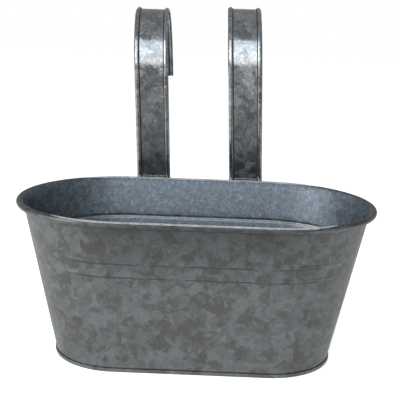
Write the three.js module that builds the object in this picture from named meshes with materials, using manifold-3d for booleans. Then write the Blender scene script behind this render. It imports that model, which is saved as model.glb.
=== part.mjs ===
// Oval wall planter in galvanised sheet steel, hung on a rail by two strap hooks.
// Millimetres. +X runs along the planter, +Y points to the rail, +Z is up.
// The origin is on the ground plane, under the middle of the planter's overall box.
import * as THREE from 'three';
import { mergeVertices } from 'three/addons/utils/BufferGeometryUtils.js';
import Module from 'manifold-3d';

// ---- driving dimensions: body ------------------------------------------------------------------
const FLAT_LENGTH = 121;       // straight run of the front and of the back wall, at the rim
const FOOT_FLAT_LENGTH = 128;  // the same at the foot, as the ends taper less than the front
const RIM_RADIUS = 90;         // round ends of the tub, over the rolled rim
const FOOT_RADIUS = 56;        // round ends of the tub, over the foot seam
const BODY_HEIGHT = 134.5;     // ground to the top of the rolled rim
const SHEET = 0.6;             // body sheet
const RIM_ROLL = 4.2;          // outside diameter of the rolled rim
const RIM_CURL = 285;          // degrees that the rim sheet is rolled through
const FOOT_UPRIGHT = 9;        // height at which the upright foot of the wall starts to taper out
const FOOT_BEND = 5;           // length of wall over which it does so
const SEAM_HEIGHT = 4.2;       // folded band of the base round the foot of the wall
const SEAM_PROUD = 0.4;        // how far that band stands out past the wall
const FLOOR_HEIGHT = 4;        // ground to the underside of the floor
const UPPER_BEAD_HEIGHT = 99.5; // ground to the middle of the upper stiffening bead
const LOWER_BEAD_HEIGHT = 88;  // ground to the middle of the lower stiffening bead
const BEAD_WIDTH = 4;          // height of one pressed bead up the wall
const BEAD_RISE = 0.9;         // how far it is pressed outwards
const LAP_THICKNESS = 0.5;     // of the front shell's laps inside the back shell

// ---- driving dimensions: strap hooks -----------------------------------------------------------
const STRAP_SPACING = 86.6;    // between the two strap centres, at the rim
const STRAP_WIDTH = 31.4;
const STRAP_SHEET = 0.8;
const EDGE_BEAD_WIDTH = 4.8;   // half-round bead along each edge of a strap
const EDGE_BEAD_RISE = 1.6;
const TAB_BEAD_SHARE = 0.2;    // share of that rise left where the strap lies on the wall
const STRAP_LEAN = -2.5;       // degrees out of square, tops to the left, as hand-fitted
const HOOK_TOP = 290;          // ground to the top of a strap's web, midway between the two
const HOOK_TOP_DIFFERENCE = 2.7; // right strap over the left, as hand-fitted
const HOOK_SPAN = 80;          // web centre to web centre, across the rail
const HOOK_RISE = 52;          // height of the arch over the rail
const HOOK_DROP = 66;          // top of a strap's web down to the end of its rear leg
const TIP_ROUNDING = 2;        // corners of a strap's two ends
const TAB_HEIGHT = 17.5;       // length of strap lying on the back wall
const TAB_BEAD_CLEARANCE = 1.5; // from the upper bead to the end of that tab
const SETBACK_HEIGHT = 9.5;    // height over which the strap steps back round the rolled rim

// ---- clearance and fineness --------------------------------------------------------------------
const GAP = 0.3;               // between pieces that touch on the real planter
const QUARTER_STEPS = 12;      // facets in a quarter turn of the oval
const FLAT_STEPS = 4;          // facets along the flat walls
const CURL_STEPS = 11;
const BEAD_STEPS = 4;
const EDGE_BEAD_STEPS = 6;
const WIRE_SIDES = 8;
const ARCH_STEPS = 18;
const SETBACK_STEPS = 6;
const SEAM_TURN_STEPS = 3;
const BEND_STEPS = 2;

const wasm = await Module();
wasm.setup();

const lerp = THREE.MathUtils.lerp;
const radians = THREE.MathUtils.degToRad;
const steps = (count) => Array.from({ length: count + 1 }, (_, i) => i / count);

// ---- the oval ------------------------------------------------------------------------------------
// A station says where round the oval a section stands: `end` is -1 for the left end and 1 for the
// right one, and `turn` runs from -90 degrees (front) through 0 (tip of the end) to 90 (back).
// `inFlat` moves it from this end's flat edge (0) to the other end's (1).
const station = (end, turn, inFlat = 0) => ({ end, turn, inFlat });

const curlRadius = (RIM_ROLL - SHEET) / 2;              // middle of the sheet in the rolled rim
const wireRadius = curlRadius - SHEET / 2 - GAP;        // steel wire inside it
const curlHeight = BODY_HEIGHT - RIM_ROLL / 2;          // centre of the rolled rim
const curlReach = RIM_RADIUS - RIM_ROLL / 2;            // from the oval's middle line to that centre

// The wall is upright at the foot and then tapers out evenly, to meet the inner side of the curl.
const wallFootReach = FOOT_RADIUS - SEAM_PROUD - SHEET / 2;
const wallRise = curlHeight - FOOT_UPRIGHT;
const wallSpread = curlReach - curlRadius - wallFootReach;
const wallSlope = Math.atan2(wallSpread, wallRise);

/** Reach of the middle of the wall's sheet from the oval's middle line, at a height. */
function wallReach(height) {
  const above = height - FOOT_UPRIGHT;
  const slope = wallSpread / wallRise;
  const bend = FOOT_BEND / 2;
  if (above <= -bend) return wallFootReach;
  if (above >= bend) return wallFootReach + slope * above;
  return wallFootReach + slope * (above + bend) ** 2 / (4 * bend); // even bend into the slope
}

/** Straight run of the oval at a height. */
function flatLength(height) {
  const t = THREE.MathUtils.clamp((height - FOOT_UPRIGHT) / wallRise, 0, 1);
  return lerp(FOOT_FLAT_LENGTH, FLAT_LENGTH, t);
}

/** Point at a station round the oval, for a place (reach, height) of a section. */
function ovalPoint({ end, turn, inFlat }, { x: reach, y: height }) {
  const flatEdge = flatLength(height) * (0.5 - inFlat);
  const x = end * (flatEdge + reach * Math.cos(turn));
  return new THREE.Vector3(x, reach * Math.sin(turn), height);
}

/** Stations from a turn on the left end, along one flat wall, to the same turn on the right end. */
function halfOval(side, firstTurn) {
  const corner = side * Math.PI / 2;
  const quarter = steps(QUARTER_STEPS).map((t) => lerp(firstTurn, corner, t));
  const left = quarter.map((turn) => station(-1, turn));
  const flat = steps(FLAT_STEPS).slice(1, -1).map((t) => station(-1, corner, t));
  const right = quarter.reverse().map((turn) => station(1, turn));
  return [...left, ...flat, ...right];
}

const fullOval = [...halfOval(-1, 0), ...halfOval(1, 0).reverse().slice(1, -1)];

// ---- sheet sections --------------------------------------------------------------------------------
const place = (reach, height) => new THREE.Vector2(reach, height);

/** Both faces of a sheet whose middle follows a line of 2-D points, mitred at the bends. */
function faces(middle, thickness) {
  const directions = middle.slice(1).map((p, i) => p.clone().sub(middle[i]).normalize());
  const offset = (sign) => middle.map((point, i) => {
    const before = directions[Math.max(i - 1, 0)];
    const after = directions[Math.min(i, directions.length - 1)];
    const along = before.clone().add(after).normalize();
    const half = thickness / 2 / along.dot(after);
    return new THREE.Vector2(point.x - sign * along.y * half, point.y + sign * along.x * half);
  });
  return [offset(1), offset(-1)];
}

/** Closed outline of a sheet's section, from the line along its middle. */
function sheetSection(middle, thickness) {
  const [left, right] = faces(middle, thickness);
  return [...left, ...right.reverse()];
}

// ---- solids ------------------------------------------------------------------------------------------
/** Closed geometry from vertices and triangles, turned so that its faces point outwards. */
function closedGeometry(vertices, triangles) {
  let volume = 0;
  for (const [a, b, c] of triangles) {
    volume += vertices[a].dot(new THREE.Vector3().crossVectors(vertices[b], vertices[c]));
  }
  const index = volume > 0 ? triangles.flat() : triangles.flatMap(([a, b, c]) => [a, c, b]);
  const geometry = new THREE.BufferGeometry().setFromPoints(vertices);
  geometry.setIndex(index);
  return geometry;
}

/** Skin over a row of matching rings. The row loops, or its two end rings are capped. */
function loft(rings, capOutline = null) {
  const size = rings[0].length;
  const spans = capOutline ? rings.length - 1 : rings.length;
  const triangles = [];
  for (let row = 0; row < spans; row += 1) {
    const next = (row + 1) % rings.length;
    for (let i = 0; i < size; i += 1) {
      const j = (i + 1) % size;
      triangles.push([row * size + i, row * size + j, next * size + j]);
      triangles.push([row * size + i, next * size + j, next * size + i]);
    }
  }
  if (capOutline) {
    const last = (rings.length - 1) * size;
    const clockwise = THREE.ShapeUtils.isClockWise(capOutline);
    for (const corners of THREE.ShapeUtils.triangulateShape(capOutline, [])) {
      const [a, b, c] = clockwise ? corners : corners.toReversed();
      triangles.push([a, b, c], [last + a, last + c, last + b]);
    }
  }
  return closedGeometry(rings.flat(), triangles);
}

/** Geometry of two solids fused into one. */
function fuse(first, second) {
  const [a, b] = [first, second].map((geometry) => {
    const merged = mergeVertices(geometry, 1e-5);
    return new wasm.Manifold(new wasm.Mesh({
      numProp: 3,
      vertProperties: new Float32Array(merged.attributes.position.array),
      triVerts: new Uint32Array(merged.index.array),
    }));
  });
  const mesh = a.add(b).getMesh();
  const geometry = new THREE.BufferGeometry();
  geometry.setAttribute('position', new THREE.BufferAttribute(mesh.vertProperties, 3));
  geometry.setIndex(new THREE.BufferAttribute(mesh.triVerts, 1));
  return geometry;
}

const galvanised = (color, roughness) => new THREE.MeshStandardMaterial({ color, roughness, metalness: 0.9 });
const spangledZinc = galvanised(0x6c7176, 0.45);
const foldedZinc = galvanised(0x7c8186, 0.4);
const strapZinc = galvanised(0x5a5f64, 0.38);
const drawnWire = galvanised(0x8b8f92, 0.3);

const planter = new THREE.Group();

function addPiece(name, geometry, material) {
  const mesh = new THREE.Mesh(geometry, material);
  mesh.name = name;
  planter.add(mesh);
}

// ---- walls: two half shells with a foot, two pressed beads and a rolled rim -----------------------------
// The foot steps in, so that the base's band wraps it and stays nearly flush with the wall.
const footInset = SHEET + GAP + SHEET / 2;              // middle of the wall's edge inside the band
const footEdgeHeight = SHEET + GAP;
const stepInHeight = SEAM_HEIGHT + GAP;
const stepHeight = 2 * (wallFootReach - (FOOT_RADIUS - footInset));

const bendHeights = steps(BEND_STEPS).map((t) => FOOT_UPRIGHT + (t - 0.5) * FOOT_BEND);

const beadLine = (middleHeight) => steps(BEAD_STEPS).map((t) => {
  const height = middleHeight + (t - 0.5) * BEAD_WIDTH;
  return place(wallReach(height) + BEAD_RISE * Math.sin(Math.PI * t) ** 2, height);
});

const curlLine = steps(CURL_STEPS).map((t) => {
  const angle = Math.PI - wallSlope - radians(RIM_CURL) * t;
  return place(curlReach + curlRadius * Math.cos(angle), curlHeight + curlRadius * Math.sin(angle));
});

const wallSection = sheetSection([
  place(FOOT_RADIUS - footInset, footEdgeHeight),
  place(FOOT_RADIUS - footInset, stepInHeight),
  place(wallFootReach, stepInHeight + stepHeight),
  ...bendHeights.map((height) => place(wallReach(height), height)),
  ...beadLine(LOWER_BEAD_HEIGHT),
  ...beadLine(UPPER_BEAD_HEIGHT),
  ...curlLine,
], SHEET);

/** Solid of a section swept through stations round part of the oval. */
const sweep = (stations, section) => (
  loft(stations.map((stop) => section.map((p) => ovalPoint(stop, p))), section)
);

// The two half shells part at the tips of the oval, a clearance apart.
const partingTurn = Math.asin(GAP / 2 / (FOOT_RADIUS - footInset - SHEET));
const lapTurn = Math.PI / 2 / QUARTER_STEPS;

// Lap of the front shell: it steps in by a fold of sheet and runs on inside the back shell. Its
// root lies inside the front shell, so it is a little thinner than the sheet.
const lapHalfSheet = LAP_THICKNESS / 2;
const lapStep = SHEET + GAP;
const lapHeights = [stepInHeight + 2 * stepHeight, ...bendHeights, curlHeight - RIM_ROLL];

function lapStrip(end) {
  const face = (out) => lapHeights.map((height) => place(wallReach(height) + out, height));
  const section = [...face(lapHalfSheet), ...face(-lapHalfSheet).reverse()];
  const stops = [[-lapTurn, 0], [-partingTurn, lapStep], [partingTurn, lapStep], [lapTurn, lapStep]];
  const rings = stops.map(([turn, inwards]) => (
    section.map((p) => ovalPoint(station(end, turn), place(p.x - inwards, p.y)))
  ));
  return loft(rings, section);
}

const frontShell = sweep(halfOval(-1, -partingTurn), wallSection);
addPiece('front_wall', fuse(fuse(frontShell, lapStrip(-1)), lapStrip(1)), spangledZinc);
addPiece('back_wall', sweep(halfOval(1, partingTurn), wallSection), spangledZinc);

// ---- rim wire: one ring of steel wire inside the rolled rim --------------------------------------------
const wireSection = steps(WIRE_SIDES).slice(1).map((t) => {
  const angle = 2 * Math.PI * t;
  return place(curlReach + wireRadius * Math.cos(angle), curlHeight + wireRadius * Math.sin(angle));
});
const wireRings = fullOval.map((stop) => wireSection.map((p) => ovalPoint(stop, p)));
addPiece('rim_wire', loft(wireRings), drawnWire);

// ---- base pan: set-up floor whose edge turns down, under the wall and up round it ------------------------
const bandReach = FOOT_RADIUS - SHEET / 2;              // middle of the band outside the wall
const innerLegReach = FOOT_RADIUS - footInset - SHEET - GAP; // middle of the leg inside the wall
const floorMiddle = FLOOR_HEIGHT + SHEET / 2;
const floorEdgeReach = innerLegReach - 3 * SHEET;
const turnRadius = SHEET;                               // round corners of the channel under the wall

const turnLine = (centreReach, firstAngle) => steps(SEAM_TURN_STEPS).map((t) => {
  const angle = firstAngle + Math.PI / 2 * t;
  const height = SHEET / 2 + turnRadius * (1 + Math.sin(angle));
  return place(centreReach + turnRadius * Math.cos(angle), height);
});

const panSection = sheetSection([
  place(floorEdgeReach, floorMiddle),
  place(innerLegReach, floorMiddle),
  ...turnLine(innerLegReach + turnRadius, Math.PI),
  ...turnLine(bandReach - turnRadius, 1.5 * Math.PI),
  place(bandReach, SEAM_HEIGHT),
], SHEET);
const panRings = panSection.map((p) => fullOval.map((stop) => ovalPoint(stop, p)));
const floorOutline = panRings[0].map((p) => new THREE.Vector2(p.x, p.y));
addPiece('base_pan', loft(panRings, floorOutline), foldedZinc);

// ---- strap hooks -------------------------------------------------------------------------------------------
/** Y of the outer face of the back wall at a height, clear of the beads and the rim. */
const backWallFace = (height) => wallReach(height) + SHEET / 2 / Math.cos(wallSlope);

const strapHalfSheet = STRAP_SHEET / 2;
const strapFaceY = RIM_RADIUS + GAP + EDGE_BEAD_RISE + strapHalfSheet; // middle of the front leg
const tabFootHeight = UPPER_BEAD_HEIGHT + BEAD_WIDTH / 2 + TAB_BEAD_CLEARANCE;
const tabTopHeight = tabFootHeight + TAB_HEIGHT;
const tabStandoff = (GAP + strapHalfSheet + TAB_BEAD_SHARE * EDGE_BEAD_RISE) / Math.cos(wallSlope);
const tabPoint = (height) => new THREE.Vector2(backWallFace(height) + tabStandoff, height);

/** Middle of a strap's web as (y, z) points, each with the share of its edge beads' rise. */
function strapPath(hookTop) {
  const archBaseHeight = hookTop - strapHalfSheet - HOOK_RISE;
  const path = [];
  const add = (point, beadShare, widthShare = 1) => path.push({ point, beadShare, widthShare });
  const tipWidth = 1 - 2 * TIP_ROUNDING / STRAP_WIDTH;
  add(tabPoint(tabFootHeight), TAB_BEAD_SHARE, tipWidth);
  add(tabPoint(tabFootHeight + TIP_ROUNDING), TAB_BEAD_SHARE);
  const tabTop = tabPoint(tabTopHeight);
  const setbackTop = new THREE.Vector2(strapFaceY, tabTopHeight + SETBACK_HEIGHT);
  const pull = SETBACK_HEIGHT / 2;
  const setback = new THREE.CubicBezierCurve(
    tabTop,
    tabPoint(tabTopHeight + pull),
    new THREE.Vector2(strapFaceY, setbackTop.y - pull),
    setbackTop,
  );
  for (const t of steps(SETBACK_STEPS)) add(setback.getPoint(t), lerp(TAB_BEAD_SHARE, 1, t));
  for (const t of steps(ARCH_STEPS)) {
    const angle = Math.PI * (1 - t);
    const y = strapFaceY + HOOK_SPAN / 2 * (1 + Math.cos(angle));
    add(new THREE.Vector2(y, archBaseHeight + HOOK_RISE * Math.sin(angle)), 1);
  }
  const rearY = strapFaceY + HOOK_SPAN;
  const tipHeight = hookTop - HOOK_DROP;
  add(new THREE.Vector2(rearY, tipHeight + TIP_ROUNDING), 1);
  add(new THREE.Vector2(rearY, tipHeight), 1, tipWidth);
  return path;
}

/** Cross-section of a strap as (x, proud) points: a flat web between two half-round edge beads. */
function strapOutline(beadShare, widthShare) {
  const half = STRAP_WIDTH / 2 - strapHalfSheet;
  const span = EDGE_BEAD_WIDTH - strapHalfSheet;
  const bead = steps(EDGE_BEAD_STEPS).map((t) => (
    new THREE.Vector2(-half + span * t, EDGE_BEAD_RISE * beadShare * Math.sin(Math.PI * t))
  ));
  const mirrored = bead.map((p) => new THREE.Vector2(-p.x, p.y)).reverse();
  const outline = sheetSection([...bead, ...mirrored], STRAP_SHEET);
  return outline.map((p) => new THREE.Vector2(p.x * widthShare, p.y));
}

function strapGeometry(hookTop) {
  const path = strapPath(hookTop);
  const lean = Math.tan(radians(STRAP_LEAN));
  const rings = path.map(({ point, beadShare, widthShare }, i) => {
    const before = path[Math.max(i - 1, 0)].point;
    const after = path[Math.min(i + 1, path.length - 1)].point;
    const along = after.clone().sub(before).normalize();
    return strapOutline(beadShare, widthShare).map((p) => {
      const y = point.x - along.y * p.y;
      const z = point.y + along.x * p.y;
      return new THREE.Vector3(p.x + (z - BODY_HEIGHT) * lean, y, z);
    });
  });
  return loft(rings, strapOutline(1, 1));
}

for (const [name, side] of [['left_hanger_strap', -1], ['right_hanger_strap', 1]]) {
  const hookTop = HOOK_TOP + side * HOOK_TOP_DIFFERENCE / 2;
  const geometry = strapGeometry(hookTop).translate(side * STRAP_SPACING / 2, 0, 0);
  addPiece(name, geometry, strapZinc);
}

// The origin lies under the middle of the whole box, which reaches from the front of the rim to the
// beads on the hooks' rear legs.
const hookBack = strapFaceY + HOOK_SPAN + EDGE_BEAD_RISE + strapHalfSheet;
planter.position.y = -(hookBack - RIM_RADIUS) / 2;

export default planter;
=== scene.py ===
"""Looks of an oval wall planter in galvanised sheet steel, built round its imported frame."""

import math

import bmesh
import bpy
from bpy.props import FloatProperty, FloatVectorProperty, PointerProperty
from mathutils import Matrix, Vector


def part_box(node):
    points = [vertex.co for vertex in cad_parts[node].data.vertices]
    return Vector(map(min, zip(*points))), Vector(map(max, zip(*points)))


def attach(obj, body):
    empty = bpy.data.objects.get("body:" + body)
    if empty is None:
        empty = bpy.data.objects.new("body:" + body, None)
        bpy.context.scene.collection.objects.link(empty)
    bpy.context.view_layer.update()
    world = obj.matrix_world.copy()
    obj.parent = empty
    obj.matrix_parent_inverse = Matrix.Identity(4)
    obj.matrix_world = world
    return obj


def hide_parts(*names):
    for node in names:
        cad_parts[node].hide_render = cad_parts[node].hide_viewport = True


bl_info = {
    "name": "Galvanised Wall Planter",
    "version": (1, 0, 0),
    "blender": (4, 5, 0),
    "location": "3D View > Sidebar > Planter",
    "description": "Builds an oval planter of galvanised sheet with two strap hooks",
    "category": "Object",
}

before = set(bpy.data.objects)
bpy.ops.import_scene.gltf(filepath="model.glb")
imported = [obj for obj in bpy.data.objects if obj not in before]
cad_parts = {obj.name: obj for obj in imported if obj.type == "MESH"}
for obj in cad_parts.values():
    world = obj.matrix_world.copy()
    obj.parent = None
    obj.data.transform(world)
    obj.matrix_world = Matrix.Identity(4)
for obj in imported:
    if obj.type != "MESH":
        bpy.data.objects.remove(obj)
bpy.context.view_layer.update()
MM = 0.001
TOUCH = 1e-6  # places closer than this, in metres, are one place

# Sizes that the frame already settles.
PAN_LOW, PAN_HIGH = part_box("base_pan")
FRONT_LOW, FRONT_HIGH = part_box("front_wall")
TUB_Y = (PAN_LOW.y + PAN_HIGH.y) / 2
RIM_RADIUS = TUB_Y - FRONT_LOW.y
FOOT_RADIUS = (PAN_HIGH.y - PAN_LOW.y) / 2
FLAT_LENGTH = FRONT_HIGH.x - FRONT_LOW.x - 2 * RIM_RADIUS
FOOT_FLAT_LENGTH = PAN_HIGH.x - PAN_LOW.x - 2 * FOOT_RADIUS
RIM_HEIGHT = FRONT_HIGH.z
STRAP_BEAD_RISE = 1.6 * MM
LEFT_TOP, RIGHT_TOP = (
    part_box(node)[1].z - STRAP_BEAD_RISE for node in ("left_hanger_strap", "right_hanger_strap")
)


def linear(hex_colour):
    """An sRGB hex colour as linear RGB."""
    channels = [int(hex_colour[i : i + 2], 16) / 255 for i in (0, 2, 4)]
    return tuple(
        c / 12.92 if c <= 0.04045 else ((c + 0.055) / 1.055) ** 2.4 for c in channels
    )


def length(name, description, default):
    return FloatProperty(
        name=name, description=description, default=default, min=0, precision=4, unit="LENGTH"
    )


def colour(name, description, hex_colour):
    return FloatVectorProperty(
        name=name,
        description=description,
        default=linear(hex_colour),
        size=3,
        min=0,
        max=1,
        subtype="COLOR",
    )


class PlanterTub(bpy.types.PropertyGroup):
    """Sizes of the tub."""

    flat: length("Flat length", "Straight run of front and back at the rim", FLAT_LENGTH)
    foot_flat: length("Foot flat length", "The same at the foot", FOOT_FLAT_LENGTH - 2.6 * MM)
    rim_radius: length("Rim radius", "Round ends, over the rolled rim", RIM_RADIUS)
    foot_radius: length("Foot radius", "Round ends, over the foot band", FOOT_RADIUS)
    height: length("Height", "Ground to the top of the rolled rim", RIM_HEIGHT)
    sheet: length("Sheet", "Thickness of the body sheet", 0.6 * MM)
    roll: length("Rim roll", "Outside diameter of the rolled rim", 5.2 * MM)
    flare: length("Rim flare", "How far the wall is drawn out into the roll", 1 * MM)
    band: length("Foot band", "Height of the folded band round the foot", 3.3 * MM)
    floor: length("Floor height", "Ground to the underside of the floor", 4 * MM)
    upper_bead: length("Upper bead", "Ground to the middle of the upper bead", 99.5 * MM)
    lower_bead: length("Lower bead", "Ground to the middle of the lower bead", 88 * MM)
    bead_rise: length("Bead rise", "How far the beads are pressed outwards", 0.6 * MM)
    waviness: length("Waviness", "Unevenness of the hand-formed sheet", 0.5 * MM)


class PlanterStrap(bpy.types.PropertyGroup):
    """Sizes of the strap hooks."""

    spacing: length("Spacing", "Between the two strap centres, at the rim", 86.6 * MM)
    width: length("Width", "Width of a strap", 31.4 * MM)
    sheet: length("Sheet", "Thickness of the strap sheet", 0.8 * MM)
    bead_width: length("Edge bead width", "Width of the bead on each edge", 4.8 * MM)
    bead_rise: length("Edge bead rise", "Height of the bead on each edge", STRAP_BEAD_RISE)
    span: length("Span", "Web to web, across the rail", 80 * MM)
    rise: length("Rise", "Height of the arch over the rail", 52 * MM)
    left_top: length("Left top", "Ground to the top of the left web", LEFT_TOP)
    right_top: length("Right top", "Ground to the top of the right web", RIGHT_TOP)
    drop: length("Drop", "Top of the web down to the end of the rear leg", 66 * MM)
    lean: FloatProperty(
        name="Lean",
        description="How far the straps stand out of square",
        default=math.radians(-2.5),
        subtype="ANGLE",
    )


class PlanterFinish(bpy.types.PropertyGroup):
    """Colours and grain of the zinc."""

    light: colour("Light crystals", "Cool light patches of the zinc", "6A6E70")
    middle: colour("Middle crystals", "Ground tone of the zinc", "5F6162")
    dark: colour("Dark crystals", "Warm dark patches of the zinc", "535452")
    bright: colour("Fresh zinc", "Zinc of the straps and the rim's crown", "989C9F")
    # Partly painted light: the inside is lighter and bluer than the outside, standing in for the
    # cool light it reflects.
    inner: colour("Inner zinc", "Bluish zinc of the inside, with painted cool light", "6B757E")
    grain: length("Crystal size", "Usual width of a zinc crystal", 11 * MM)
    roughness: FloatProperty(
        name="Roughness",
        description="Roughness of the weathered zinc",
        default=0.5,
        min=0,
        max=1,
        subtype="FACTOR",
    )


class PlanterStage(bpy.types.PropertyGroup):
    """Light and floor."""

    ground: colour("Floor colour", "Colour of the floor", "F4F4F2")
    window: FloatProperty(
        name="Window lamp",
        description="Power of the wide lamp in front",
        default=11,
        min=0,
        subtype="POWER",
    )


# ---- drawing and shaping ---------------------------------------------------------------------


def deselect_all():
    if bpy.context.mode != "OBJECT":
        bpy.ops.object.mode_set(mode="OBJECT")
    bpy.ops.object.select_all(action="DESELECT")


def select_where(piece, test):
    """Selects the vertices of the piece being edited whose place passes the test."""
    mesh = bmesh.from_edit_mesh(piece.data)
    for v in mesh.verts:
        v.select = test(v.co)
    mesh.select_flush_mode()
    bmesh.update_edit_mesh(piece.data)


def draw_line(name, points):
    """Starts a piece as a line of edges through points, and leaves its edit mode open."""
    deselect_all()
    bpy.ops.mesh.primitive_plane_add(size=MM, location=points[0])
    piece = bpy.context.active_object
    piece.name = piece.data.name = name
    bpy.ops.object.transform_apply(location=True, rotation=True, scale=True)
    bpy.ops.object.mode_set(mode="EDIT")
    bpy.ops.mesh.select_mode(type="VERT")
    bpy.ops.mesh.select_all(action="SELECT")
    bpy.ops.mesh.merge(type="CENTER")
    for before, after in zip(points, points[1:]):
        push(Vector(after) - Vector(before))
    return piece


def push(move):
    """Extrudes what is selected by a move."""
    bpy.ops.mesh.extrude_region_move(TRANSFORM_OT_translate={"value": tuple(move)})


def turn_end(end, degrees, steps, flat):
    """Spins the selected section about the axis of a round end, anticlockwise from above."""
    bpy.ops.mesh.spin(
        steps=steps,
        angle=-math.radians(degrees),  # with no window, a positive angle turns clockwise
        center=(end * flat / 2, TUB_Y, 0),
        axis=(0, 0, 1),
    )


def run_flat(side, flat, steps=24):
    """Extrudes the selected section along a flat wall, towards +X or -X."""
    for _ in range(steps):
        push((side * flat / steps, 0, 0))


def smooth_step(low, high, value):
    t = max(0.0, min(1.0, (value - low) / (high - low)))
    return t * t * (3 - 2 * t)


def weigh(piece, name, share):
    """A vertex group whose weights are the share that a function gives for each place."""
    group = piece.vertex_groups.new(name=name)
    for v in piece.data.vertices:
        weight = share(v.co)
        if weight > 0:
            group.add([v.index], min(1.0, weight), "REPLACE")


def apply_modifier(piece, kind, **settings):
    deselect_all()
    bpy.context.view_layer.objects.active = piece
    piece.select_set(True)
    modifier = piece.modifiers.new(kind.title(), kind)
    for key, value in settings.items():
        setattr(modifier, key, value)
    bpy.ops.object.modifier_apply(modifier=modifier.name)


def finish_piece(piece, node):
    """Smooths a piece and lets it stand for its CAD node."""
    deselect_all()
    bpy.context.view_layer.objects.active = piece
    piece.select_set(True)
    bpy.ops.object.shade_smooth_by_angle(angle=math.radians(32))
    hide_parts(node)
    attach(piece, "root")


def even_line(points, gap):
    """The same line with points added wherever two are further apart than the gap."""
    line = [points[0]]
    for a, b in zip(points, points[1:]):
        count = max(1, math.ceil(math.dist(a, b) / gap))
        line += [
            tuple(p + (q - p) * k / count for p, q in zip(a, b)) for k in range(1, count + 1)
        ]
    return line


# ---- section of the wall ---------------------------------------------------------------------

BEAD_WIDTH = 4.6 * MM
BEAD_STEPS = 10
BEND_HEIGHT = 6.5 * MM  # the upright foot bends into the tapering wall round this height
BEND_LENGTH = 3 * MM
SEAM_PROUD = 0.4 * MM  # how far the foot band stands out from the wall
FLARE_ROOM = 12 * MM  # this far below the rim's top, the section gets closer rows
ROLL_TILT = 28  # lean of the sheet where the roll begins, in degrees
CURL_DEGREES = 285
CURL_STEPS = 28
GAP = 0.3 * MM  # play between two folded or lapped sheets


def wall_foot_reach(tub):
    return tub.foot_radius - SEAM_PROUD - tub.sheet / 2


def roll_point(tub, degrees):
    """A point of the rolled rim's section, counted round its middle from the outermost point."""
    radius = (tub.roll - tub.sheet) / 2
    angle = math.radians(degrees)
    return (
        tub.rim_radius - tub.roll / 2 + radius * math.cos(angle),
        tub.height - tub.roll / 2 + radius * math.sin(angle),
    )


def wall_slope(tub):
    reach, height = roll_point(tub, 180 - ROLL_TILT)
    return (reach - tub.flare - wall_foot_reach(tub)) / (height - BEND_HEIGHT)


def wall_reach(tub, height):
    """Reach of the middle of the wall sheet: upright, then an even taper, then the rim's flare."""
    slope = wall_slope(tub)
    above, bend = height - BEND_HEIGHT, BEND_LENGTH / 2
    if above <= -bend:
        return wall_foot_reach(tub)
    if above < bend:
        return wall_foot_reach(tub) + slope * (above + bend) ** 2 / (4 * bend)
    flare_height = 2 * tub.flare / (math.tan(math.radians(ROLL_TILT)) - slope)
    into_flare = max(0.0, 1 - (roll_point(tub, 180 - ROLL_TILT)[1] - height) / flare_height)
    return wall_foot_reach(tub) + slope * above + tub.flare * into_flare**2


def wall_line(tub):
    """The wall from the foot inside the band to the end of the rolled rim, the beads still flat."""
    inset = tub.foot_radius - tub.sheet * 1.5 - GAP
    step = tub.band + GAP
    line = [
        (inset, tub.sheet + GAP),
        (inset, step),
        (wall_foot_reach(tub), step + 2 * (wall_foot_reach(tub) - inset)),
    ]
    for k in range(5):
        height = BEND_HEIGHT + (k / 4 - 0.5) * BEND_LENGTH
        line.append((wall_reach(tub, height), height))
    for middle in (tub.lower_bead, tub.upper_bead):
        for k in range(BEAD_STEPS + 1):
            height = middle + (k / BEAD_STEPS - 0.5) * BEAD_WIDTH
            line.append((wall_reach(tub, height), height))
    below_flare, top = tub.height - FLARE_ROOM, roll_point(tub, 180 - ROLL_TILT)[1]
    line = even_line(line + [(wall_reach(tub, below_flare), below_flare)], 5 * MM)
    for k in range(1, 12):
        height = below_flare + (top - below_flare) * k / 12
        line.append((wall_reach(tub, height), height))
    return line + [
        roll_point(tub, 180 - ROLL_TILT - CURL_DEGREES * k / CURL_STEPS)
        for k in range(CURL_STEPS + 1)
    ]


def past_flat(tub, co):
    """How far a place lies past the end of the flat run, and off the tub's long middle line."""
    return max(0.0, abs(co.x) - tub.flat / 2), abs(co.y - TUB_Y)


def turn_from_tip(tub, co):
    """Degrees round a round end, from 0 at its tip to 90 at the flat walls."""
    past, off = past_flat(tub, co)
    return math.degrees(math.atan2(off, max(1e-9, past)))


def below_bead(tub, height):
    """How far a height lies below the middle of the nearest bead, in bead widths."""
    return min((bead - height for bead in (tub.lower_bead, tub.upper_bead)), key=abs) / BEAD_WIDTH


def beside_flat(flat, side, line):
    """A section line of (reach, height) as points at the left end of a flat wall."""
    return [(-flat / 2, TUB_Y + side * reach, height) for reach, height in line]


# ---- finishes --------------------------------------------------------------------------------


def add_node(tree, kind, settings=None, **inputs):
    """Adds a node, with its settings, and with values or links for its inputs."""
    made = tree.nodes.new(kind)
    for key, value in (settings or {}).items():
        setattr(made, key, value)
    for key, value in inputs.items():
        socket = made.inputs[int(key[1:]) if key[1:].isdigit() else key.replace("_", " ")]
        if isinstance(value, bpy.types.NodeSocket):
            tree.links.new(value, socket)
        else:
            socket.default_value = value
    return made


FLAKE_WIDTH = 1.5 * MM


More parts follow.
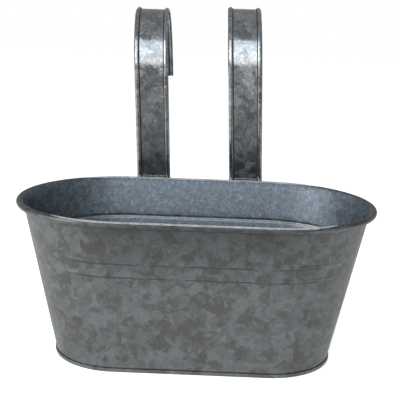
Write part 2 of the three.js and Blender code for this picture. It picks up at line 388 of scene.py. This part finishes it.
def galvanised_sheet(name, tones, grain, roughness, flake=0.1, painted_glint=0.0, painted_shade=None):
    """Hot-dip galvanised steel: zinc that froze into flat crystals, each of which takes the light
    its own way, so the grey is broken into crisp patches with a soft sheen. The tones run from
    dark to light, the grain is a crystal's width, flake says how far the fine flakes stand out,
    and painted_glint how bright the painted highlights on a few flakes are. A sheet with painted
    shade is given as (height where it starts, height where it is full, length of the part, share
    of the tone that is left)."""
    material = bpy.data.materials.new(name)
    material.use_nodes = True
    tree = material.node_tree
    shader = tree.nodes["Principled BSDF"]
    where = add_node(tree, "ShaderNodeTexCoord").outputs["Object"]
    # Ragged crystal edges, bent at half a crystal's width.
    fray = add_node(
        tree, "ShaderNodeTexNoise", Vector=where, Scale=1.3 / grain, Detail=1.0
    ).outputs["Color"]
    shift = add_node(
        tree, "ShaderNodeVectorMath", {"operation": "MULTIPLY_ADD"},
        i0=fray, i1=(0.7 * grain,) * 3, i2=where,
    ).outputs[0]
    large = add_node(tree, "ShaderNodeTexVoronoi", Vector=shift, Scale=1 / grain)
    small = add_node(tree, "ShaderNodeTexVoronoi", Vector=shift, Scale=2.2 / grain)
    large_tone = add_node(
        tree, "ShaderNodeSeparateColor", Color=large.outputs["Color"]
    ).outputs[0]
    small_tone = add_node(
        tree, "ShaderNodeSeparateColor", Color=small.outputs["Color"]
    ).outputs[1]
    blend = add_node(
        tree, "ShaderNodeMath", {"operation": "MULTIPLY_ADD"}, i0=small_tone, i1=0.45, i2=0.0
    ).outputs[0]
    tone = add_node(
        tree, "ShaderNodeMath", {"operation": "MULTIPLY_ADD"}, i0=large_tone, i1=0.55, i2=blend
    ).outputs[0]
    ramp = add_node(tree, "ShaderNodeValToRGB", Fac=tone)
    stops = ramp.color_ramp.elements
    dark, middle, light = [(*t, 1) for t in tones]
    stops[0].position, stops[0].color = 0.2, dark
    stops[1].position, stops[1].color = 0.8, light
    stops.new(0.48).color = middle
    # Fine bright flakes inside the crystals.
    flakes = add_node(
        tree, "ShaderNodeTexVoronoi", Vector=where, Scale=1 / FLAKE_WIDTH
    ).outputs["Color"]
    flake_tone = add_node(tree, "ShaderNodeSeparateColor", Color=flakes).outputs[2]
    lift = add_node(
        tree, "ShaderNodeMapRange", Value=flake_tone, i1=0.0, i2=1.0, i3=1 - flake, i4=1 + flake
    ).outputs[0]
    # Painted highlights: a few flakes get a brighter colour, standing in for flakes that catch the
    # light.
    painted_glints = add_node(
        tree, "ShaderNodeMapRange", Value=flake_tone, i1=0.9, i2=1.0, i3=0.0, i4=painted_glint
    ).outputs[0]
    lift = add_node(tree, "ShaderNodeMath", {"operation": "ADD"}, i0=lift, i1=painted_glints).outputs[0]
    if painted_shade:
        # Painted shade: the tone is darkened from one height to another, least at the part's two
        # ends.
        start, full, extent, share = painted_shade
        place = add_node(tree, "ShaderNodeSeparateXYZ", Vector=where)
        across = add_node(
            tree, "ShaderNodeMath", {"operation": "ABSOLUTE"}, i0=place.outputs[0]
        ).outputs[0]
        aside = add_node(
            tree, "ShaderNodeMapRange", {"interpolation_type": "SMOOTHSTEP"},
            Value=across, i1=extent * 0.45, i2=extent * 0.95, i3=share, i4=1.0,
        ).outputs[0]
        fade = add_node(
            tree, "ShaderNodeMapRange",
            Value=place.outputs[2], i1=start, i2=full, i3=1.0, i4=aside,
        ).outputs[0]
        lift = add_node(
            tree, "ShaderNodeMath", {"operation": "MULTIPLY"}, i0=lift, i1=fade
        ).outputs[0]
    tinted = add_node(
        tree, "ShaderNodeVectorMath", {"operation": "SCALE"}, i0=ramp.outputs[0], Scale=lift
    ).outputs[0]
    tree.links.new(tinted, shader.inputs["Base Color"])
    rough = add_node(
        tree, "ShaderNodeMapRange", Value=large_tone, i1=0.0, i2=1.0,
        i3=roughness - 0.07, i4=roughness + 0.08,
    ).outputs[0]
    tree.links.new(rough, shader.inputs["Roughness"])
    bump = add_node(
        tree, "ShaderNodeBump", Strength=0.25, Distance=0.15 * MM, Height=tone
    ).outputs[0]
    tree.links.new(bump, shader.inputs["Normal"])
    shader.inputs["Metallic"].default_value = 0.9
    return material


def fresh_tones(zinc, share):
    """Three close tones round a share of one colour of zinc, from dark to light."""
    return [tuple(min(1, c * share * k) for c in zinc) for k in (0.72, 0.9, 1.15)]


# ---- operators ---------------------------------------------------------------------------------


# The wall's finishes, in the order of its material slots.
OUTSIDE, INSIDE, CROWN, GROOVE, CREASE = range(5)
LAP_DEGREES = 7
END_STEPS = 32  # steps in a quarter turn round an end
BEADS_GROW = 28, 66  # the beads grow to their full height between these turns from the tip
CREASE_END = 58  # the painted shade in the creases ends at this turn from the tip, in degrees
# The crown of the roll gets a near-white finish: partly worn zinc, partly a painted highlight along
# the top of the roll.
CROWN_END, CROWN_FADE = 55, 18  # the bright crown ends here, and narrows over this many degrees
CROWN_DEPTH = 0.2  # share of the roll's height that is worn bright and carries the painted highlight
# Height of the painted shadow under the roll.
SHADE_UNDER_ROLL = 1.9 * MM


class PlanterAddWalls(bpy.types.Operator):
    """Draw the wall's section, run it along and round both ends, and press its beads"""

    bl_idname = "planter.add_walls"
    bl_label = "Add Walls"

    def execute(self, context):
        tub, finish = context.scene.planter_tub, context.scene.planter_finish
        # Painted shade darkens the outside from below the lower bead up to the rim, standing in for
        # the darker reflection under the rim.
        outside = galvanised_sheet(
            "Galvanised steel outside", (finish.dark, finish.middle, finish.light),
            finish.grain, finish.roughness,
            painted_shade=(tub.lower_bead - 10 * MM, tub.height - tub.roll, tub.flat, 0.55),
        )
        inside = galvanised_sheet(
            "Galvanised steel inside", fresh_tones(finish.inner, 1.0), finish.grain * 0.5,
            finish.roughness + 0.02, flake=0.12, painted_glint=0.4,
        )
        # Painted highlight: the crown's near-white finish, partly worn zinc, stands in for the
        # light along the top of the roll.
        crown = galvanised_sheet(
            "Galvanised steel worn crown with painted highlight", fresh_tones(finish.bright, 2.9), finish.grain * 0.4,
            finish.roughness - 0.22, flake=0.02,
        )
        # Painted highlight: a lighter, smoother finish for the inside flank under each bead, which
        # faces up to the light.
        groove = galvanised_sheet(
            "Galvanised steel groove with painted highlight", fresh_tones(finish.bright, 0.68),
            finish.grain * 0.4, finish.roughness - 0.1,
        )
        # Painted shade: a dark finish for the wall under the beads and under the roll, where they
        # shade it.
        crease = galvanised_sheet(
            "Galvanised steel crease with painted shade", fresh_tones(finish.inner, 0.33),
            finish.grain * 0.4, finish.roughness - 0.1,
        )
        for name, node, side in (
            ("front_shell", "front_wall", -1),
            ("back_shell", "back_wall", 1),
        ):
            shell = self.half_shell(name, tub, side)
            self.check_side(shell, side)
            self.lengthen_foot(shell, tub)
            self.press_beads(shell, tub)
            self.unevenness(shell, tub)
            for material in (outside, inside, crown, groove, crease):
                shell.data.materials.append(material)
            apply_modifier(
                shell, "SOLIDIFY", thickness=tub.sheet, offset=0, use_even_offset=True,
                material_offset=1,
            )
            self.paint_light_and_shade_on_wall(shell, tub)
            finish_piece(shell, node)
        return {"FINISHED"}

    @staticmethod
    def half_shell(name, tub, side):
        """One half of the tub as a sheet, parted at the tips. The front half has the laps."""
        parting = math.degrees(GAP / 2 / tub.foot_radius)
        shell = draw_line(name, beside_flat(tub.flat, side, wall_line(tub)))
        bpy.ops.mesh.select_all(action="SELECT")
        run_flat(1, tub.flat)
        for end in (1, -1):
            select_where(shell, lambda co: abs(co.x - end * tub.flat / 2) < TOUCH)
            turn_end(end, -side * end * (90 - parting), END_STEPS, tub.flat)
            if side == -1:
                # The lap stays clear of the foot and of the roll.
                select_where(
                    shell,
                    lambda co: end * co.x > tub.flat / 2
                    and TUB_Y - co.y < GAP * tub.rim_radius / tub.foot_radius
                    and 7 * MM < co.z < tub.height - 2 * tub.roll,
                )
                push((-end * (tub.sheet + GAP), 2 * GAP, 0))
                turn_end(end, end * LAP_DEGREES, 6, tub.flat)
        bpy.ops.mesh.select_all(action="SELECT")
        bpy.ops.mesh.remove_doubles(threshold=TOUCH)
        bpy.ops.mesh.normals_make_consistent(inside=False)
        bpy.ops.object.mode_set(mode="OBJECT")
        flats = [f for f in shell.data.polygons if abs(f.center.x) < tub.flat / 2]
        if sum(side * f.normal.y for f in flats) < 0:
            shell.data.flip_normals()
        return shell

    @staticmethod
    def paint_light_and_shade_on_wall(shell, tub):
        """Gives the rolled rim the outside finish and a near-white crown, partly worn zinc and
        partly a painted highlight. Each bead's inside flank under its middle gets a painted
        highlight.
        Painted shade darkens the creases under the beads and under the roll."""
        for face in shell.data.polygons:
            height = face.center.z
            reach = math.hypot(*past_flat(tub, face.center))
            turn = turn_from_tip(tub, face.center)
            under = below_bead(tub, height)
            # Painted highlight on the crown, partly worn zinc, narrowing towards the tips.
            highlit_depth = CROWN_DEPTH * tub.roll * min(1.0, (turn - CROWN_END) / CROWN_FADE)
            # The painted shade line under a bead is broken, and thicker in some places than in
            # others.
            shade_break = math.sin(face.center.x / (5 * MM)) + math.sin(face.center.x / (13 * MM))
            lined = shade_break > -1.1 and (0.1 if shade_break > 0 else 0.24) < under < 0.45
            if height > tub.height - highlit_depth:
                face.material_index = CROWN
            elif reach > tub.rim_radius - 0.8 * tub.roll and height > tub.height - tub.roll:
                face.material_index = OUTSIDE
            # Painted highlight on the inside flank under each bead.
            elif face.material_index == INSIDE and 0 < under < 0.5:
                face.material_index = GROOVE
            # Painted shade in the creases under the beads and under the roll.
            elif face.material_index == OUTSIDE and turn > CREASE_END and (
                lined or height > tub.height - tub.roll - SHADE_UNDER_ROLL
            ):
                face.material_index = CREASE

    @staticmethod
    def check_side(shell, side):
        """Stops if a shell was spun to the wrong side of the tub."""
        if sum(v.co.y - TUB_Y for v in shell.data.vertices) * side <= 0:
            raise RuntimeError(f"{shell.name} was spun to the wrong side")

    @staticmethod
    def lengthen_foot(shell, tub):
        """Moves the foot of each end outwards, as the ends taper less than the front."""
        top = tub.height - tub.roll / 2
        for end, name in ((1, "right_foot"), (-1, "left_foot")):

            def share(co, end=end):
                down = max(0.0, min(1.0, (top - co.z) / (top - BEND_HEIGHT)))
                return down * min(1.0, end * co.x / (tub.flat / 2))

            weigh(shell, name, share)
            apply_modifier(
                shell, "DISPLACE", direction="X", vertex_group=name, mid_level=0,
                strength=end * (tub.foot_flat - tub.flat) / 2,
            )

    @staticmethod
    def press_beads(shell, tub):
        """Raises both beads, which run out before the tips of the round ends."""

        def share(co):
            across = abs(below_bead(tub, co.z))
            rise = math.cos(math.pi * across) ** 2 if across < 0.5 else 0
            return rise * smooth_step(*BEADS_GROW, turn_from_tip(tub, co))

        weigh(shell, "beads", share)
        apply_modifier(
            shell, "DISPLACE", vertex_group="beads", mid_level=0, strength=tub.bead_rise
        )

    @staticmethod
    def unevenness(shell, tub):
        """Slow waves of hand-formed sheet, held off the foot, the beads, the rim and the seams."""

        def share(co):
            low = (co.z - 14 * MM) / (14 * MM)
            high = (tub.lower_bead - 5 * MM - co.z) / (14 * MM)
            seam = (abs(co.y - TUB_Y) - 8 * MM) / (20 * MM)
            return min(low, high, seam)

        weigh(shell, "soft", share)
        waves = bpy.data.textures.new("sheet_waves", "CLOUDS")
        waves.noise_scale = 45 * MM
        apply_modifier(
            shell, "DISPLACE", texture=waves, texture_coords="LOCAL", vertex_group="soft",
            strength=tub.waviness, mid_level=0.5,
        )


class PlanterAddBase(bpy.types.Operator):
    """Draw the folded edge of the base, spin it round the tub and fill its floor"""

    bl_idname = "planter.add_base"
    bl_label = "Add Base"

    def execute(self, context):
        tub, finish = context.scene.planter_tub, context.scene.planter_finish
        zinc = galvanised_sheet(
            "Galvanised steel fold", fresh_tones(finish.bright, 0.4), finish.grain,
            finish.roughness - 0.1,
        )
        flat = tub.foot_flat
        pan = draw_line("foot_band_and_floor", beside_flat(flat, -1, self.fold_line(tub)))
        bpy.ops.mesh.select_all(action="SELECT")
        for end in (1, -1):
            run_flat(end, flat)
            select_where(
                pan, lambda co: abs(co.x - end * flat / 2) < TOUCH and end * (co.y - TUB_Y) < 0
            )
            turn_end(end, 180, 2 * END_STEPS, flat)
            select_where(
                pan, lambda co: abs(co.x - end * flat / 2) < TOUCH and end * (co.y - TUB_Y) > 0
            )
        bpy.ops.mesh.select_all(action="SELECT")
        bpy.ops.mesh.remove_doubles(threshold=TOUCH)
        floor_height = tub.floor + tub.sheet / 2
        inner = self.fold_line(tub)[0][0]
        select_where(
            pan,
            lambda co: abs(co.z - floor_height) < TOUCH
            and math.hypot(max(0, abs(co.x) - flat / 2), co.y - TUB_Y) < inner + TOUCH,
        )
        bpy.ops.mesh.edge_face_add()
        bpy.ops.mesh.select_all(action="SELECT")
        bpy.ops.mesh.normals_make_consistent(inside=False)
        bpy.ops.object.mode_set(mode="OBJECT")
        pan.data.materials.append(zinc)
        apply_modifier(pan, "SOLIDIFY", thickness=tub.sheet, offset=0, use_even_offset=True)
        finish_piece(pan, "base_pan")
        return {"FINISHED"}

    @staticmethod
    def fold_line(tub):
        """From the floor's edge, down inside the wall, under it and up round its foot."""
        sheet = tub.sheet
        inner = tub.foot_radius - sheet * 2.5 - 2 * GAP
        outer = tub.foot_radius - sheet / 2
        line = [(inner - 3 * sheet, tub.floor + sheet / 2), (inner, tub.floor + sheet / 2)]
        for centre, first in ((inner + sheet, math.pi), (outer - sheet, 1.5 * math.pi)):
            for k in range(7):
                angle = first + math.pi / 2 * k / 6
                line.append(
                    (centre + sheet * math.cos(angle), sheet / 2 + sheet * (1 + math.sin(angle)))
                )
        return line + [(outer, tub.band)]


TAB_FOOT = 103 * MM  # ground to the lower end of the tab on the back wall
TAB_HEIGHT = 17.5 * MM
SETBACK_HEIGHT = 9.5 * MM  # the web leaves the tab for its upright run over this height
TAB_BEAD_SHARE = 0.2  # share of the beads' rise that the pressed tab keeps
BEAD_COLUMNS, WEB_COLUMNS, ARCH_STEPS = 12, 6, 48
FLANK = 0.72  # the inner flank of an edge bead starts at this share of its width


class PlanterAddStraps(bpy.types.Operator):
    """Draw the side of a strap hook, extrude it across and raise its edge beads"""

    bl_idname = "planter.add_straps"
    bl_label = "Add Strap Hooks"

    def execute(self, context):
        finish, strap = context.scene.planter_finish, context.scene.planter_strap
        # Painted shade darkens the straps below 250 mm, standing in for the darker reflection on
        # their lower legs; a few flakes get painted highlights.
        zinc = galvanised_sheet(
            "Galvanised strap steel", fresh_tones(finish.bright, 1.0), finish.grain * 0.7,
            finish.roughness - 0.32, flake=0.14, painted_glint=0.4,
            painted_shade=(250 * MM, 200 * MM, 300 * MM, 0.76),
        )
        # Painted shade for the inner flank of each edge bead.
        crease = galvanised_sheet(
            "Galvanised strap crease with painted shade", fresh_tones(finish.inner, 0.36), finish.grain * 0.4,
            finish.roughness - 0.1,
        )
        for name, node, side in (
            ("left_strap_hook", "left_hanger_strap", -1),
            ("right_strap_hook", "right_hanger_strap", 1),
        ):
            piece = self.sheet(name, side)
            for material in (zinc, crease):
                piece.data.materials.append(material)
            self.shade_flanks(piece, side)
            apply_modifier(
                piece, "DISPLACE", vertex_group="bead", strength=strap.bead_rise, mid_level=0
            )
            apply_modifier(
                piece, "SOLIDIFY", thickness=strap.sheet, offset=0, use_even_offset=True
            )
            finish_piece(piece, node)
        return {"FINISHED"}

    @staticmethod
    def into_strap(co, side):
        """How far a place of a strap lies in from its edge, counted in widths of the edge bead."""
        tub, strap = bpy.context.scene.planter_tub, bpy.context.scene.planter_strap
        middle = side * strap.spacing / 2 + (co.z - tub.height) * math.tan(strap.lean)
        return ((strap.width - strap.sheet) / 2 - abs(co.x - middle)) / (
            strap.bead_width - strap.sheet / 2
        )

    def sheet(self, name, side):
        """A strap as one sheet, with the share of bead rise at each of its vertices."""
        tub, strap = bpy.context.scene.planter_tub, bpy.context.scene.planter_strap
        top = strap.left_top if side < 0 else strap.right_top
        path, shares = self.side_line(tub, strap, top)
        half = (strap.width - strap.sheet) / 2
        span = strap.bead_width - strap.sheet / 2
        bead = [span * k / BEAD_COLUMNS for k in range(BEAD_COLUMNS + 1)]
        web = half - span
        columns = [-half + s for s in bead]
        columns += [-web + 2 * web * k / WEB_COLUMNS for k in range(1, WEB_COLUMNS)]
        columns += [half - s for s in reversed(bead)]
        edge = side * strap.spacing / 2 - half
        lean = math.tan(strap.lean)
        points = [(edge + (z - tub.height) * lean, y, z) for y, z in path]
        piece = draw_line(name, points)
        bpy.ops.mesh.select_all(action="SELECT")
        for before, after in zip(columns, columns[1:]):
            push((after - before, 0, 0))
        bpy.ops.mesh.select_all(action="SELECT")
        bpy.ops.mesh.normals_make_consistent(inside=False)
        bpy.ops.object.mode_set(mode="OBJECT")
        mid_leg = 180 * MM
        front = min(piece.data.polygons, key=lambda f: abs(f.center.z - mid_leg))
        if front.normal.y > 0:
            piece.data.flip_normals()
        group = piece.vertex_groups.new(name="bead")
        for v in piece.data.vertices:
            inward = max(0.0, min(1.0, self.into_strap(v.co, side)))
            nearest = min(
                range(len(path)), key=lambda k: math.dist(path[k], (v.co.y, v.co.z))
            )
            group.add([v.index], math.sin(math.pi * inward) * shares[nearest], "REPLACE")
        return piece

    def shade_flanks(self, piece, side):
        """Painted shade darkens the inner flank of each edge bead."""
        for face in piece.data.polygons:
            if FLANK < self.into_strap(face.center, side) < 1.0:
                face.material_index = 1

    @staticmethod
    def side_line(tub, strap, top):
        """The web from the tab on the back wall, over the rail, to the rear tip, as (y, z)."""
        half_sheet = strap.sheet / 2
        slope = math.atan(wall_slope(tub))
        face_y = tub.rim_radius + GAP + strap.bead_rise + half_sheet
        standoff = (GAP + half_sheet + TAB_BEAD_SHARE * strap.bead_rise) / math.cos(slope)

        def tab(height):
            return wall_reach(tub, height) + tub.sheet / 2 / math.cos(slope) + standoff

        tab_top = TAB_FOOT + TAB_HEIGHT
        step_top = tab_top + SETBACK_HEIGHT
        base = top - half_sheet - strap.rise
        heights = [TAB_FOOT + TAB_HEIGHT * k / 6 for k in range(7)]
        line = [(tab(height), height) for height in heights]
        shares = [TAB_BEAD_SHARE] * len(line)
        low, high = (tab(tab_top), tab_top), (face_y, step_top)
        pull = SETBACK_HEIGHT / 2
        pulls = (tab(tab_top + pull), tab_top + pull), (face_y, step_top - pull)
        for k in range(1, 13):
            t = k / 12
            weights = ((1 - t) ** 3, 3 * t * (1 - t) ** 2, 3 * t * t * (1 - t), t**3)
            line.append(
                tuple(
                    sum(w * p[i] for w, p in zip(weights, (low, *pulls, high)))
                    for i in (0, 1)
                )
            )
            shares.append(TAB_BEAD_SHARE + (1 - TAB_BEAD_SHARE) * t)
        line += even_line([high, (face_y, base)], 5 * MM)[1:]
        for k in range(1, ARCH_STEPS + 1):
            angle = math.pi * (1 - k / ARCH_STEPS)
            line.append(
                (
                    face_y + strap.span / 2 * (1 + math.cos(angle)),
                    base + strap.rise * math.sin(angle),
                )
            )
        line += even_line([line[-1], (face_y + strap.span, top - strap.drop)], 3 * MM)[1:]
        shares += [1.0] * (len(line) - len(shares))
        return [(y + TUB_Y, z) for y, z in line], shares


class PlanterFinishWire(bpy.types.Operator):
    """Give the steel wire inside the rolled rim its drawn finish"""

    bl_idname = "planter.finish_wire"
    bl_label = "Finish Rim Wire"

    def execute(self, context):
        finish = context.scene.planter_finish
        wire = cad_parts["rim_wire"]
        zinc = galvanised_sheet(
            "Galvanised drawn wire", fresh_tones(finish.bright, 1.0), 3 * MM, 0.34
        )
        wire.data.materials.clear()
        wire.data.materials.append(zinc)
        return {"FINISHED"}


class PlanterSetStage(bpy.types.Operator):
    """Set the camera, the pale floor and the soft lamps"""

    bl_idname = "planter.set_stage"
    bl_label = "Set Stage"

    def execute(self, context):
        scene, stage = context.scene, context.scene.planter_stage
        scene.view_settings.view_transform = "Standard"
        deselect_all()
        bpy.ops.object.camera_add(
            location=(0.01675, -0.75937, 0.29595),
            rotation=[math.radians(a) for a in (77.2611, -1.8350, 1.5251)],
        )
        camera = context.active_object
        camera.name = "photo_camera"
        camera.data.lens = 78.587
        camera.data.sensor_width = 36
        camera.data.clip_start = 0.01
        scene.camera = camera
        self.floor(stage)
        self.world(scene)
        # A cool window stands over a warm card of the same brightness, so a strap's bend shows one
        # bright band of two tints. The side lamp lights the right part of the inside.
        for name, place, aim, wide, high, share, tint in (
            ("window_lamp", (0.05, -1.45, 1.13), (0, 1, 0), 1.5, 0.94, 1, "EFF7FF"),
            ("card_lamp", (0.05, -1.45, 0.465), (0, 1, 0), 1.5, 0.39, 0.42, "FFFCF7"),
            ("side_lamp", (-1.25, -0.75, 0.6), (1.25, 0.75, -0.45), 0.9, 0.8, 1.4, "FFFFFF"),
        ):
            bpy.ops.object.light_add(type="AREA", location=place)
            lamp = context.active_object
            lamp.name = name
            lamp.data.shape = "RECTANGLE"
            lamp.data.size, lamp.data.size_y = wide, high
            lamp.data.energy = stage.window * share
            lamp.data.color = linear(tint)
            lamp.rotation_euler = Vector(aim).to_track_quat("-Z", "Y").to_euler()
        return {"FINISHED"}

    @staticmethod
    def floor(stage):
        """A pale floor. It ends a little in front of the planter, as the straps reflect nothing
        pale just below the horizon. Past its far edge the camera sees the white world."""
        deselect_all()
        size, near_edge = 5, -0.6
        bpy.ops.mesh.primitive_plane_add(size=size, location=(0, near_edge + size / 2, 0))
        sweep = bpy.context.active_object
        sweep.name = "floor_and_backdrop"
        material = bpy.data.materials.new("Pale paper sweep")
        material.use_nodes = True
        tree = material.node_tree
        paper = tree.nodes["Principled BSDF"]
        paper.inputs["Base Color"].default_value = (*stage.ground, 1)
        paper.inputs["Roughness"].default_value = 0.9
        # The paper glows where it is seen, directly or reflected, and lights nothing else by it.
        path = add_node(tree, "ShaderNodeLightPath")
        seen = add_node(
            tree, "ShaderNodeMath", {"operation": "MAXIMUM"},
            i0=path.outputs["Is Camera Ray"], i1=path.outputs["Is Glossy Ray"],
        ).outputs[0]
        level = add_node(
            tree, "ShaderNodeMath", {"operation": "MULTIPLY"}, i0=seen, i1=0.65
        ).outputs[0]
        glow = add_node(tree, "ShaderNodeEmission", Color=(1, 1, 1, 1), Strength=level)
        both = add_node(tree, "ShaderNodeAddShader", i0=paper.outputs[0], i1=glow.outputs[0])
        tree.links.new(both.outputs[0], tree.nodes["Material Output"].inputs["Surface"])
        sweep.data.materials.append(material)

    @staticmethod
    def world(scene):
        world = bpy.data.worlds.new("Plain studio")
        scene.world = world
        world.use_nodes = True
        tree = world.node_tree
        background = tree.nodes["Background"]
        background.inputs["Color"].default_value = (1, 1, 1, 1)
        # White where the camera sees it, and a plain level of light on the object.
        seen = add_node(tree, "ShaderNodeLightPath").outputs["Is Camera Ray"]
        level = add_node(
            tree, "ShaderNodeMapRange", Value=seen, i1=0.0, i2=1.0, i3=0.4, i4=1.0
        ).outputs[0]
        tree.links.new(level, background.inputs["Strength"])


class PlanterPanel(bpy.types.Panel):
    """Sizes, finishes and steps of the planter"""

    bl_idname = "VIEW3D_PT_planter"
    bl_label = "Wall Planter"
    bl_space_type = "VIEW_3D"
    bl_region_type = "UI"
    bl_category = "Planter"

    def draw(self, context):
        for key in GROUPS:
            box = self.layout.box()
            group = getattr(context.scene, key)
            for name in group.bl_rna.properties.keys():
                if name not in ("rna_type", "name"):
                    box.prop(group, name)
        for step in STEPS:
            self.layout.operator(step.bl_idname)


GROUPS = {
    "planter_tub": PlanterTub,
    "planter_strap": PlanterStrap,
    "planter_finish": PlanterFinish,
    "planter_stage": PlanterStage,
}
STEPS = (
    PlanterSetStage,
    PlanterAddWalls,
    PlanterAddBase,
    PlanterAddStraps,
    PlanterFinishWire,
)
CLASSES = (*GROUPS.values(), *STEPS, PlanterPanel)


def register():
    for cls in CLASSES:
        bpy.utils.register_class(cls)
    for key, group in GROUPS.items():
        setattr(bpy.types.Scene, key, PointerProperty(type=group))


def unregister():
    for key in GROUPS:
        delattr(bpy.types.Scene, key)
    for cls in reversed(CLASSES):
        bpy.utils.unregister_class(cls)


def main():
    register()
    bpy.ops.planter.set_stage()
    bpy.ops.planter.add_walls()
    bpy.ops.planter.add_base()
    bpy.ops.planter.add_straps()
    bpy.ops.planter.finish_wire()
    bpy.context.view_layer.update()


if __name__ == "__main__":
    main()
